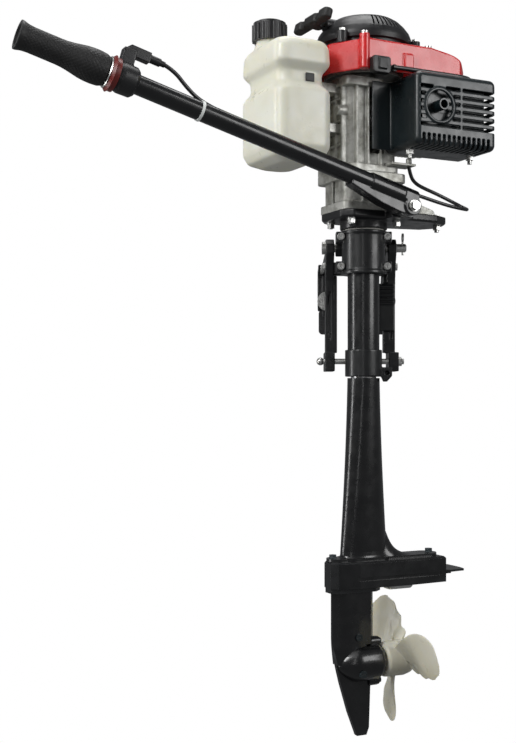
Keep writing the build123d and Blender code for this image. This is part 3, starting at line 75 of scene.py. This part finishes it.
# --- camera and lights ---
def make_camera():
    data = bpy.data.cameras.new("camera")
    data.lens = 55.9
    data.sensor_width = 36
    data.shift_y = 0.0316
    data.clip_start, data.clip_end = 0.05, 60
    camera = bpy.data.objects.new("camera", data)
    camera.location = (-0.1463, -1.693, -0.1794)
    camera.rotation_euler = (radians(90), 0, 0)
    bpy.context.scene.collection.objects.link(camera)
    bpy.context.scene.camera = camera


def area_light(name, place, target, size, watts):
    data = bpy.data.lights.new(name, "AREA")
    data.shape = "RECTANGLE"
    data.size, data.size_y = size
    data.energy = watts
    light = bpy.data.objects.new(name, data)
    light.location = place
    light.rotation_euler = (Vector(target) - Vector(place)).to_track_quat("-Z", "Y").to_euler()
    bpy.context.scene.collection.objects.link(light)


def make_lights():
    area_light("key", (-1.7, -1.9, 1.4), (0, 0, 0), (0.7, 1.3), 40)
    area_light("left_strip", (-1.9, -0.3, -0.1), (0, -0.1, -0.15), (0.3, 2.2), 16)
    area_light("front_strip", (-0.35, -2.4, 0.5), (0, -0.1, -0.1), (0.14, 2.0), 2.5)
    area_light("right_wide", (2.2, -1.5, 0.7), (0.1, -0.1, 0.1), (1.3, 1.3), 27)
    area_light("top", (0.1, 0.3, 2.2), (0, 0, 0), (1.4, 1.4), 24)
    data = bpy.data.lights.new("sun", "SUN")
    data.energy = 0.35
    data.angle = radians(40)
    sun = bpy.data.objects.new("sun", data)
    sun.rotation_euler = (radians(28), radians(-14), 0)
    bpy.context.scene.collection.objects.link(sun)


def make_world():
    """Dim grey surroundings for the reflections, white where the camera looks past the object."""
    world = bpy.data.worlds.new("studio")
    world.use_nodes = True
    tree = world.node_tree
    tree.nodes.clear()
    out = tree.nodes.new("ShaderNodeOutputWorld")
    mix = tree.nodes.new("ShaderNodeMixShader")
    path = tree.nodes.new("ShaderNodeLightPath")
    dim = tree.nodes.new("ShaderNodeBackground")
    dim.inputs["Color"].default_value = (0.95, 0.97, 1, 1)
    dim.inputs["Strength"].default_value = 0.16
    white = tree.nodes.new("ShaderNodeBackground")
    white.inputs["Color"].default_value = (1, 1, 1, 1)
    tree.links.new(path.outputs["Is Camera Ray"], mix.inputs[0])
    tree.links.new(dim.outputs[0], mix.inputs[1])
    tree.links.new(white.outputs[0], mix.inputs[2])
    tree.links.new(mix.outputs[0], out.inputs["Surface"])
    bpy.context.scene.world = world
    bpy.context.scene.view_settings.view_transform = "Standard"


# --- materials ---
class Finish:
    """A material under construction: a Principled shader and the nodes that drive it."""

    def __init__(self, name, metallic=0.0, **constants):
        self.material = bpy.data.materials.new(name)
        self.material.use_nodes = True
        self.tree = self.material.node_tree
        self.shader = self.tree.nodes["Principled BSDF"]
        self.shader.inputs["Metallic"].default_value = metallic
        for socket, value in constants.items():
            self.shader.inputs[socket.replace("_", " ")].default_value = value
        self.place = self.node("ShaderNodeTexCoord").outputs["Object"]
        self.height = None

    def node(self, kind, **inputs):
        made = self.tree.nodes.new(kind)
        for socket, value in inputs.items():
            made.inputs[socket.replace("_", " ")].default_value = value
        return made

    def link(self, start, end):
        self.tree.links.new(start, end)

    def noise(self, scale, detail=3.0, rough=0.5, stretch=None):
        texture = self.node("ShaderNodeTexNoise", Scale=scale, Detail=detail, Roughness=rough)
        source = self.place
        if stretch:
            mapping = self.node("ShaderNodeMapping")
            mapping.inputs["Scale"].default_value = stretch
            self.link(self.place, mapping.inputs["Vector"])
            source = mapping.outputs["Vector"]
        self.link(source, texture.inputs["Vector"])
        return texture.outputs["Fac"]

    def cells(self, scale, kind="F1"):
        texture = self.node("ShaderNodeTexVoronoi", Scale=scale)
        texture.feature = kind
        self.link(self.place, texture.inputs["Vector"])
        return texture.outputs["Distance"]

    def spread(self, value, low, high, out_low=0.0, out_high=1.0):
        """The value's range from low to high, stretched to out_low to out_high and clamped."""
        made = self.node("ShaderNodeMapRange")
        for index, number in enumerate((low, high, out_low, out_high), start=1):
            made.inputs[index].default_value = number
        self.link(value, made.inputs[0])
        return made.outputs[0]

    def blend(self, amount, first, second):
        mix = self.node("ShaderNodeMix")
        mix.data_type = "RGBA"
        self.link(amount, mix.inputs[0])
        for socket, colour in ((mix.inputs[6], first), (mix.inputs[7], second)):
            if isinstance(colour, tuple):
                socket.default_value = (*colour, 1)
            else:
                self.link(colour, socket)
        return mix.outputs[2]

    def colour(self, value):
        self.link(value, self.shader.inputs["Base Color"])

    def roughness(self, value):
        self.link(value, self.shader.inputs["Roughness"])

    def bump(self, value, depth, strength=1.0):
        """Stacks a bump, depth in metres."""
        made = self.node("ShaderNodeBump", Strength=strength, Distance=depth)
        self.link(value, made.inputs["Height"])
        if self.height:
            self.link(self.height, made.inputs["Normal"])
        self.height = made.outputs["Normal"]
        self.link(self.height, self.shader.inputs["Normal"])

    def edges(self, low=0.53, high=0.62):
        """1 on worn convex edges, 0 elsewhere."""
        geometry = self.node("ShaderNodeNewGeometry")
        return self.spread(geometry.outputs["Pointiness"], low, high)


def paint(name, colour, worn, rough, coat, orange_peel=0.00003):
    """Sprayed or moulded gloss: faint orange peel, dust in broad patches and paler edges."""
    made = Finish(name, Coat_Weight=coat, Coat_Roughness=0.08)
    patches = made.spread(made.noise(34, 4), 0.42, 0.7)
    dusty = tuple(min(1, c * 1.2 + 0.0015) for c in colour)
    base = made.blend(patches, colour, dusty)
    made.colour(made.blend(made.edges(), base, worn))
    made.roughness(made.spread(made.noise(60, 5), 0.3, 0.75, rough * 0.75, rough * 1.4))
    made.bump(made.noise(420, 2), orange_peel)
    return made.material


def cast(name, colour, dark, rough=0.5, metallic=0.85):
    """Sand-cast or die-cast metal: fine grain, grime in patches, painted shade darkening the hollows, bright
    edges.
    """
    made = Finish(name, metallic=metallic)
    grime = made.spread(made.noise(55, 6, 0.62), 0.4, 0.68)
    base = made.blend(grime, colour, dark)
    # painted shade: low pointiness darkens the hollows, standing in for ambient occlusion
    hollow = made.spread(made.node("ShaderNodeNewGeometry").outputs["Pointiness"], 0.42, 0.5, 1, 0)
    base = made.blend(hollow, base, tuple(c * 0.35 for c in dark))
    bright = tuple(min(1, c * 1.5) for c in colour)
    made.colour(made.blend(made.edges(0.53, 0.6), base, bright))
    made.roughness(made.spread(made.noise(160, 4), 0.3, 0.7, rough * 0.8, rough * 1.3))
    made.bump(made.noise(1300, 3), 0.00012)
    made.bump(made.noise(260, 3), 0.0002, 0.6)
    return made.material


def plated(name, colour, stain, rough, metallic=1.0):
    """Zinc or bare steel: thin scratches along the part, stains in patches."""
    made = Finish(name, metallic=metallic)
    stained = made.spread(made.noise(120, 5), 0.5, 0.75)
    made.colour(made.blend(stained, colour, stain))
    made.roughness(made.spread(made.noise(700, 3, stretch=(1, 1, 0.15)), 0.3, 0.7, rough * 0.7, rough * 1.5))
    made.bump(made.noise(1800, 2, stretch=(1, 1, 0.1)), 0.00002)
    return made.material


def moulded(name, colour, pale, rough, grain=0.00006, grain_scale=1500, **constants):
    """Moulded plastic or rubber with a fine matt grain."""
    made = Finish(name, **constants)
    patches = made.spread(made.noise(28, 4), 0.35, 0.7)
    base = made.blend(patches, colour, pale)
    made.colour(made.blend(made.edges(0.54, 0.66), base, tuple(min(1, c * 1.6 + 0.01) for c in pale)))
    made.roughness(made.spread(made.noise(90, 4), 0.3, 0.7, rough * 0.85, rough * 1.2))
    made.bump(made.noise(grain_scale, 2), grain)
    return made.material


def translucent(name, colour, shade, rough, depth):
    """Unpigmented plastic: milky, slightly yellow, light travels a little way under its skin."""
    made = Finish(name, Subsurface_Weight=0.35, Subsurface_Radius=(0.9, 0.75, 0.45), Subsurface_Scale=depth)
    cloudy = made.spread(made.noise(14, 4), 0.35, 0.7)
    made.colour(made.blend(cloudy, colour, shade))
    made.roughness(made.spread(made.noise(75, 4), 0.3, 0.7, rough * 0.8, rough * 1.3))
    made.bump(made.noise(240, 2), 0.00008)
    made.bump(made.noise(1500, 2), 0.00002)
    return made.material


def make_materials():
    """One material for each slot of the record."""
    return {
        "black_paint": paint("black_paint", (0.0035, 0.0036, 0.004), (0.02, 0.022, 0.024), 0.27, 0.35),
        "black_satin": paint("black_satin", (0.006, 0.011, 0.013), (0.05, 0.07, 0.08), 0.33, 0.25, 0.00006),
        "black_bracket": paint(
            "black_bracket", (0.005, 0.0055, 0.006), (0.035, 0.038, 0.04), 0.34, 0.2, 0.0001
        ),
        "red_paint": paint("red_paint", (0.60, 0.012, 0.014), (0.72, 0.1, 0.09), 0.26, 0.5),
        "cast_aluminium": cast("cast_aluminium", (0.62, 0.62, 0.58), (0.24, 0.235, 0.2), 0.42, 0.45),
        "zinc": plated("zinc", (0.68, 0.68, 0.66), (0.42, 0.41, 0.38), 0.3),
        "steel": plated("steel", (0.45, 0.45, 0.46), (0.25, 0.23, 0.2), 0.34),
        "ivory_plastic": translucent("ivory_plastic", (0.80, 0.79, 0.69), (0.72, 0.70, 0.56), 0.32, 0.006),
        "ivory_nylon": translucent("ivory_nylon", (0.70, 0.68, 0.58), (0.58, 0.55, 0.42), 0.32, 0.003),
        "black_plastic": moulded("black_plastic", (0.008, 0.008, 0.009), (0.016, 0.016, 0.017), 0.38),
        "black_rubber": moulded("black_rubber", (0.007, 0.007, 0.007), (0.014, 0.014, 0.014), 0.55),
        "dark_red_plastic": moulded("dark_red_plastic", (0.13, 0.012, 0.01), (0.17, 0.02, 0.016), 0.35),
        "red_button": moulded("red_button", (0.55, 0.012, 0.012), (0.6, 0.03, 0.03), 0.3),
        "bush_plastic": moulded("bush_plastic", (0.62, 0.61, 0.56), (0.7, 0.69, 0.64), 0.5),
        "porcelain": moulded("porcelain", (0.78, 0.78, 0.74), (0.84, 0.84, 0.82), 0.15, 0.00001),
    }


def cable_material():
    """Smooth black casing of the throttle cable and the ignition lead."""
    made = Finish("cable_skin", Coat_Weight=0.3)
    patches = made.spread(made.noise(40, 4), 0.4, 0.7)
    made.colour(made.blend(patches, (0.008, 0.008, 0.009), (0.02, 0.02, 0.021)))
    made.roughness(made.spread(made.noise(160, 3), 0.3, 0.7, 0.25, 0.42))
    made.bump(made.noise(900, 2), 0.00004)
    return made.material


def rope_material():
    """Braided cord, matt and a little dusty."""
    made = Finish("rope")
    made.colour(made.blend(made.spread(made.cells(900), 0.1, 0.6), (0.02, 0.02, 0.02), (0.09, 0.09, 0.085)))
    made.roughness(made.spread(made.noise(300, 3), 0.3, 0.7, 0.7, 0.95))
    made.bump(made.cells(1100), 0.0003)
    return made.material


# --- mesh helpers ---
def link_piece(name, mesh, material, body):
    """An object for the mesh, attached to its body if it is given one."""
    piece = bpy.data.objects.new(name, mesh)
    bpy.context.scene.collection.objects.link(piece)
    piece.data.materials.clear()
    piece.data.materials.append(material)
    if body:
        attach(piece, body)
    return piece


def evaluated_mesh(piece):
    """The piece's mesh as its modifiers leave it."""
    graph = bpy.context.evaluated_depsgraph_get()
    return bpy.data.meshes.new_from_object(piece.evaluated_get(graph), depsgraph=graph)


def smooth_by_angle(mesh, angle=FACE_ANGLE):
    """Shades smooth, with edges sharper than angle kept crisp."""
    form = bmesh.new()
    form.from_mesh(mesh)
    for face in form.faces:
        face.smooth = True
    for edge in form.edges:
        edge.smooth = len(edge.link_faces) == 2 and edge.calc_face_angle(0) < angle
    form.to_mesh(mesh)
    form.free()


def finished_mesh(form, name, place=None, angle=FACE_ANGLE):
    """The bmesh as a mesh, moved to its place and shaded."""
    mesh = bpy.data.meshes.new(name)
    form.to_mesh(mesh)
    form.free()
    if place:
        mesh.transform(place)
    smooth_by_angle(mesh, angle)
    return mesh


def skin(form, rings, hoop=False):
    """Quads between neighbouring rings; a hoop joins its last ring to its first and has no end faces."""
    for near, far in zip(rings, rings[1:] + rings[:1] if hoop else rings[1:]):
        for step in range(len(near)):
            after = (step + 1) % len(near)
            form.faces.new((near[step], near[after], far[after], far[step]))
    for ring in () if hoop else (rings[0], rings[-1]):
        form.faces.new(ring)
    bmesh.ops.recalc_face_normals(form, faces=form.faces)


def softened(node, voxel, passes, keep, place):
    """A copy of a CAD node with its edges rounded as a casting's or moulding's are, which stands for it."""
    mesh = NODES[node].data.copy()
    mesh.transform(place.inverted())
    scratch = bpy.data.objects.new("scratch", mesh)
    bpy.context.scene.collection.objects.link(scratch)
    remesh = scratch.modifiers.new("remesh", "REMESH")
    remesh.mode = "VOXEL"
    remesh.voxel_size = voxel * MM
    smooth = scratch.modifiers.new("smooth", "SMOOTH")
    smooth.factor, smooth.iterations = 0.5, passes
    if keep < 1:
        thin = scratch.modifiers.new("thin", "DECIMATE")
        thin.ratio = keep
    bpy.context.view_layer.update()
    result = evaluated_mesh(scratch)
    bpy.data.objects.remove(scratch)
    result.transform(place)
    result.shade_smooth()
    slot = SLOT_OF[node]
    piece = link_piece(node + "_soft", result, MATERIALS[slot], BODY_OF[node])
    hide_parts(node)


def lathe(name, profile, place, material, body, steps=64, wobble=None, hoop=False):
    """A surface turned about X from (distance, radius) points in millimetres."""
    form = bmesh.new()
    rings = []
    for along, radius in profile:
        ring = []
        for step in range(steps):
            turn = 2 * pi * step / steps
            reach = radius + (wobble(along, turn) if wobble else 0)
            ring.append(form.verts.new((along * MM, reach * MM * cos(turn), reach * MM * sin(turn))))
        rings.append(ring)
    skin(form, rings, hoop)
    return link_piece(name, finished_mesh(form, name, place), material, body)


def box_piece(name, low, high, place, material, body, round_by=0.6):
    """A small rounded block between two corners in millimetres."""
    form = bmesh.new()
    size = [(b - a) * MM for a, b in zip(low, high)]
    middle = [(a + b) / 2 * MM for a, b in zip(low, high)]
    bmesh.ops.create_cube(form, size=1, matrix=Matrix.Translation(middle) @ Matrix.Diagonal((*size, 1)))
    bmesh.ops.bevel(form, geom=list(form.edges), offset=round_by * MM, segments=3, affect="EDGES")
    return link_piece(name, finished_mesh(form, name, place), material, body)


def spline(name, points, place):
    """A smooth NURBS curve with the route's points, in metres, as its control points."""
    data = bpy.data.curves.new(name, "CURVE")
    data.dimensions = "3D"
    line = data.splines.new("NURBS")
    line.points.add(len(points) - 1)
    for control, point in zip(line.points, points):
        control.co = (*(place @ Vector(point)), 1)
    line.order_u = 3
    line.use_endpoint_u = True
    line.resolution_u = 10
    return data


def centreline(name, points, place):
    """Points along the route's NURBS curve."""
    data = spline(name, points, place)
    scratch = bpy.data.objects.new("scratch", data)
    bpy.context.scene.collection.objects.link(scratch)
    mesh = evaluated_mesh(scratch)
    line = [vertex.co.copy() for vertex in mesh.vertices]
    bpy.data.objects.remove(scratch)
    return line


def tube_mesh(name, line, radius, sides=14):
    """A round tube along a line of points."""
    form = bmesh.new()
    rings = []
    side = Vector((0, 0, 1))
    for index, point in enumerate(line):
        before, after = line[max(index - 1, 0)], line[min(index + 1, len(line) - 1)]
        along = (after - before).normalized()
        side = (side - along * side.dot(along)).normalized()
        other = along.cross(side)
        turns = [2 * pi * step / sides for step in range(sides)]
        rings.append([form.verts.new(point + radius * (cos(t) * side + sin(t) * other)) for t in turns])
    skin(form, rings)
    return finished_mesh(form, name, angle=TUBE_ANGLE)


# --- pieces ---
def dress_cad_nodes():
    """Gives each shown CAD node its slot's material and a small bevel on its sharp edges."""
    for name, node in NODES.items():
        node.data.materials.clear()
        node.data.materials.append(MATERIALS[SLOT_OF[name]])
        weld = node.modifiers.new("weld", "WELD")
        weld.merge_threshold = 0.00002
        bevel = node.modifiers.new("bevel", "BEVEL")
        bevel.width = 0.35 * MM
        bevel.segments = 2
        bevel.limit_method = "ANGLE"
        bevel.angle_limit = FACE_ANGLE
        normals = node.modifiers.new("normals", "WEIGHTED_NORMAL")
        normals.keep_sharp = True


GRIP_PROFILE = [
    # distance along the tiller tube and radius, in mm
    (442, 15.6), (444, 18), (448, 19.6), (456, 20.3), (464, 20.2), (472, 19.4), (480, 17.9), (488, 16.4),
    (496, 15.4), (504, 15.1), (536, 15), (543, 15.6), (547, 16.6), (550, 17.4), (552, 17.3),
]  # fmt: skip
GRIP_RING_STEP = 0.9  # mm between the rings that carry the pattern
GRIP_STEPS = 176  # points round each ring
GROOVED = (446, 546)  # the pattern's two ends, in mm
GROOVES = 22  # grooves of each hand round the grip
GROOVE_PITCH = 100 / 18  # mm along the grip from one groove to the next
GROOVE_DEPTH = 0.55  # mm
GROOVE_SHARPNESS = 2.2  # the higher, the narrower a groove


def make_grip():
    """Rubber grip with a raised diamond pattern, left between grooves of both hands."""
    fine = []
    for (start, low), (end, high) in zip(GRIP_PROFILE, GRIP_PROFILE[1:]):
        count = max(1, round((end - start) / GRIP_RING_STEP))
        fine += [(start + (end - start) * i / count, low + (high - low) * i / count) for i in range(count)]
    fine += [GRIP_PROFILE[-1], (552, 13), (549.5, 12.5), (549.5, 0.4)]  # over the rim and into the hollow end

    def diamonds(along, turn):
        if not GROOVED[0] <= along <= GROOVED[1]:
            return 0
        sweep = (along - GRIP_PROFILE[0][0]) * pi / GROOVE_PITCH
        left = abs(sin(turn * GROOVES / 2 + sweep))
        right = abs(sin(turn * GROOVES / 2 - sweep))
        return -GROOVE_DEPTH * (1 - min(1, GROOVE_SHARPNESS * min(left, right)))

    rubber = MATERIALS["black_rubber"]
    grip = lathe("grip_rubber", fine, TUBE, rubber, "twist_grip", GRIP_STEPS, diamonds)
    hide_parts("twist_grip")


LOOP_ROUTE = [
    # from the tiller, round behind it and up under the engine, in the motor's frame, in metres
    (-0.008, -0.0595, 0.1005), (0.014, -0.060, 0.098), (0.034, -0.062, 0.0945), (0.054, -0.064, 0.0895),
    (0.077, -0.0655, 0.084), (0.100, -0.066, 0.0795), (0.121, -0.0635, 0.078), (0.136, -0.055, 0.079),
    (0.141, -0.043, 0.0825), (0.135, -0.033, 0.089), (0.118, -0.029, 0.097), (0.098, -0.0295, 0.1035),
    (0.079, -0.032, 0.108), (0.061, -0.038, 0.112), (0.049, -0.0435, 0.1195), (0.045, -0.045, 0.1326),
]  # fmt: skip
ARM_ROUTE = [
    # from the throttle housing down along the tube, in the tiller's frame, in metres
    (0.376, 0, 0.0467), (0.362, 0, 0.0445), (0.342, -0.002, 0.033), (0.322, -0.005, 0.0255),
    (0.296, -0.008, 0.0234), (0.240, -0.0084, 0.0232), (0.180, -0.0098, 0.0225), (0.120, -0.0124, 0.0199),
    (0.066, -0.015, 0.0189), (0.040, -0.0155, 0.0185),
]  # fmt: skip
CABLE_R = 2.5 * MM


def make_throttle_cable():
    """Outer casing of the throttle cable along the tiller."""
    line = centreline("arm_line", ARM_ROUTE, TILLER)
    mesh = tube_mesh("throttle_casing", line, CABLE_R)
    cable = link_piece("throttle_casing", mesh, MATERIALS["cable_skin"], "tiller")
    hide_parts("throttle_cable")


def make_cable_loop():
    """The cable's free loop behind the tiller."""
    line = centreline("loop_line", LOOP_ROUTE, MOTOR)
    mesh = tube_mesh("throttle_loop", line, CABLE_R)
    loop = link_piece("throttle_loop", mesh, MATERIALS["cable_skin"], None)
    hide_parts("throttle_cable_loop")
    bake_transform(loop)


def make_tiller_details():
    """Cable tie round the tube and the pale ring under the grip, as (distance, radius) hoops."""
    tie = [(316, 12.1), (316, 13), (319.4, 13), (319.4, 12.1)]
    lathe("cable_tie", tie, TUBE, MATERIALS["tie_plastic"], "tiller", hoop=True)
    cone = [(441.1, 12.4), (441.1, 19.4), (442.2, 18.4), (442.2, 12.4)]
    lathe("grip_collar", cone, TUBE, MATERIALS["zinc"], "tiller", hoop=True)


LEG_HALF_CHORD, LEG_HALF_WIDTH = 35.5, 19.0  # of the leg's body at its lower end, in mm


def make_leg_foot():
    """Foot of the leg's casting, from the end of its long body down onto its flange."""
    upright = Matrix.Rotation(radians(-90), 4, "Y")
    flat = Matrix.Diagonal((1, LEG_HALF_WIDTH / LEG_HALF_CHORD, 1, 1))
    foot = [
        # height and half chord
        (-391, 34.6), (-394.5, 35.5), (-399, 35.8), (-401.6, 36.4), (-402.7, 37.6), (-403.1, 39.4),
        (-404, 39.4),
    ]  # fmt: skip
    slot = SLOT_OF["leg_casting"]
    lathe("leg_foot", foot, MOTOR @ flat @ upright, MATERIALS[slot], BODY_OF["leg_casting"])


def make_tank_clip():
    """Small dark block on the tank's waist."""
    low, high = (-119.4, -53.4, 229.4), (-106.6, -51.4, 240.4)
    box_piece("tank_clip", low, high, MOTOR, MATERIALS["black_rubber"], "motor")


LEAD_ROUTE = [
    # from the plug cap round the head to the coil, in the motor's frame, in metres
    (0.150, 0, 0.200), (0.158, -0.004, 0.212), (0.152, -0.016, 0.236), (0.142, -0.036, 0.2535),
    (0.132, -0.066, 0.2545), (0.116, -0.083, 0.2535), (0.080, -0.0835, 0.2535), (0.040, -0.0835, 0.2535),
    (0.010, -0.084, 0.2535), (-0.006, -0.0845, 0.253),
]  # fmt: skip
LEAD_R = 3 * MM
CYLINDER = MOTOR @ Matrix.Translation((0, 0, 0.2))  # +X along the cylinder's axis


def make_plug_lead():
    """Plug cap and the ignition lead from it to the coil."""
    boot = [(131, 0.3), (131, 8.6), (134, 9), (148, 8), (154, 6.4), (156, 4), (156.4, 0.3)]
    lathe("plug_cap", boot, CYLINDER, MATERIALS["black_rubber"], "motor")
    line = centreline("lead_line", LEAD_ROUTE, MOTOR)
    mesh = tube_mesh("plug_lead", line, LEAD_R)
    lead = link_piece("plug_lead", mesh, MATERIALS["cable_skin"], "motor")


ROPE_R = 1.8 * MM
ROPE_NECK, ROPE_HANDLE = Vector((-0.046, 0, 0.325)), Vector((-0.079, 0, 0.3268))
ROPE_SPANS = 12


def make_starter_rope():
    """Rope from the starter's neck into the pull handle."""
    line = [MOTOR @ ROPE_NECK.lerp(ROPE_HANDLE, step / ROPE_SPANS) for step in range(ROPE_SPANS + 1)]
    mesh = tube_mesh("starter_rope", line, ROPE_R)
    rope = link_piece("starter_rope", mesh, MATERIALS["rope"], None)
    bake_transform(rope)


SOFTENED = {
    # node: voxel in mm, smoothing passes, share of faces kept
    "crankcase": (1.0, 4, 0.5), "crankcase_base": (1.0, 4, 0.5), "mount_plate": (0.9, 4, 0.4),
    "bracket_left": (0.9, 5, 0.4), "bracket_right": (0.9, 5, 0.4), "bracket_crossmember": (0.9, 5, 0.4),
    "swivel_bracket": (0.8, 4, 0.5), "swivel_cap": (0.8, 4, 0.5), "lower_collar": (0.8, 4, 0.5),
    "fan_shroud": (0.9, 5, 0.4), "muffler_cover": (0.9, 4, 0.4), "propeller": (0.7, 16, 0.6),
    "fuel_tank": (1.4, 36, 1), "carburettor": (0.8, 3, 0.5), "air_cleaner": (0.9, 4, 0.5),
    "starter_handle": (0.7, 6, 0.6), "ignition_coil": (0.7, 4, 0.6), "anode": (0.7, 4, 0.6),
}  # fmt: skip
SOFTENED_ON_TILLER = {"tiller_casting": (0.7, 10, 0.6), "throttle_housing": (0.6, 4, 0.6)}


def make_soft_copies():
    """Softened copies of the cast and moulded nodes, remeshed along the motor's or the tiller's axes."""
    for place, table in ((MOTOR, SOFTENED), (TILLER, SOFTENED_ON_TILLER)):
        for node, (voxel, passes, keep) in table.items():
            softened(node, voxel, passes, keep, place)


MATERIALS = make_materials()
MATERIALS["cable_skin"] = cable_material()
MATERIALS["rope"] = rope_material()
MATERIALS["tie_plastic"] = moulded("tie_plastic", (0.45, 0.47, 0.46), (0.6, 0.62, 0.6), 0.4)

make_camera()
make_lights()
make_world()
dress_cad_nodes()
make_soft_copies()
make_grip()
make_throttle_cable()
make_cable_loop()
make_tiller_details()
make_leg_foot()
make_tank_clip()
make_plug_lead()
make_starter_rope()
